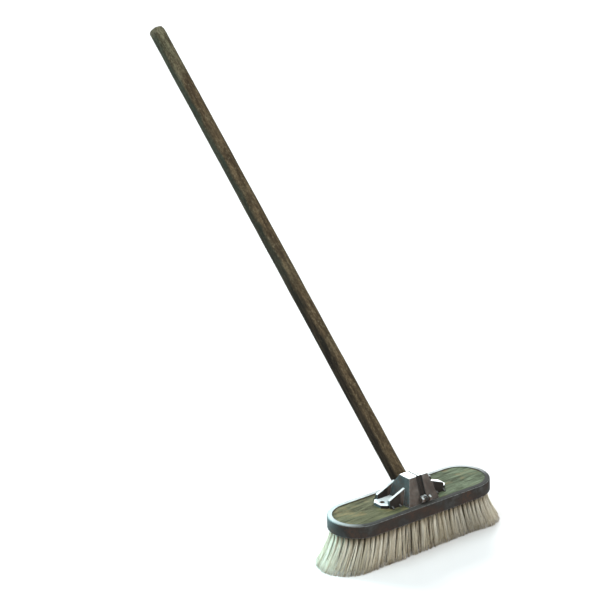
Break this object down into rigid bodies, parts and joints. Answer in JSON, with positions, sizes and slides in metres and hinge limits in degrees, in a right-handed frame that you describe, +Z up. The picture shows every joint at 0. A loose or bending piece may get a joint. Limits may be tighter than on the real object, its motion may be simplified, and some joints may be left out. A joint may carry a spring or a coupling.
{
  "type": "push broom",
  "caption": "Push broom: wooden block in a steel rim, ringed rows of bristles, and a round wooden handle leaning back out of a ribbed split metal socket.",
  "frame": {"origin": "on the floor, under the middle of the block, where the bristle tips end", "axes": "+X along the block to the right, +Y towards the user, where the handle leans, +Z up"},
  "size_m": [0.444, 0.925, 0.9223],
  "materials": {
    "board_wood": "weathered olive-grey board, grain along the block",
    "handle_wood": "weathered brown-grey pole, grain along the handle",
    "rim_steel": "dull dark steel with rust mottling",
    "cast_metal": "worn grey casting",
    "fastener_steel": "rusted steel",
    "bristle_fibre": "cream natural fibre in tufts"
  },
  "bodies": {
    "head": {"block": "board_wood", "rim_band": "rim_steel", "rim_brad_1": "fastener_steel", "rim_brad_2": "fastener_steel", "rim_brad_3": "fastener_steel", "rim_brad_4": "fastener_steel", "rim_brad_5": "fastener_steel", "rim_brad_6": "fastener_steel", "rim_brad_7": "fastener_steel", "rim_brad_8": "fastener_steel", "bristle_ring_1": "bristle_fibre", "bristle_ring_2": "bristle_fibre", "bristle_ring_3": "bristle_fibre", "bristle_ring_4": "bristle_fibre", "bristle_row_centre": "bristle_fibre", "bracket_left": "cast_metal", "bracket_right": "cast_metal", "flange_screw_left": "fastener_steel", "flange_screw_right": "fastener_steel", "clamp_nut": "fastener_steel", "clamp_washer_right": "fastener_steel"},
    "washer": {"clamp_washer_left": "fastener_steel"},
    "clamp": {"clamp_screw": "fastener_steel"},
    "pole": {"handle": "handle_wood"}
  },
  "joints": [
    {"name": "handle_slide", "type": "slide", "parent": "head", "child": "pole", "axis": [0, 0.7218, 0.6921], "range_m": [0, 0.03]},
    {"name": "clamp_travel", "type": "slide", "parent": "head", "child": "washer", "axis": [-1, 0, 0], "range_m": [0, 0.003]},
    {"name": "clamp_turn", "type": "hinge", "parent": "washer", "child": "clamp", "pos_m": [0, -0.051, 0.1082], "axis": [-1, 0, 0], "range_deg": [0, 1081]}
  ],
  "couplings": [
    {"joint": "clamp_turn", "follows": "clamp_travel", "rad_per_m": 6283.2}
  ]
}
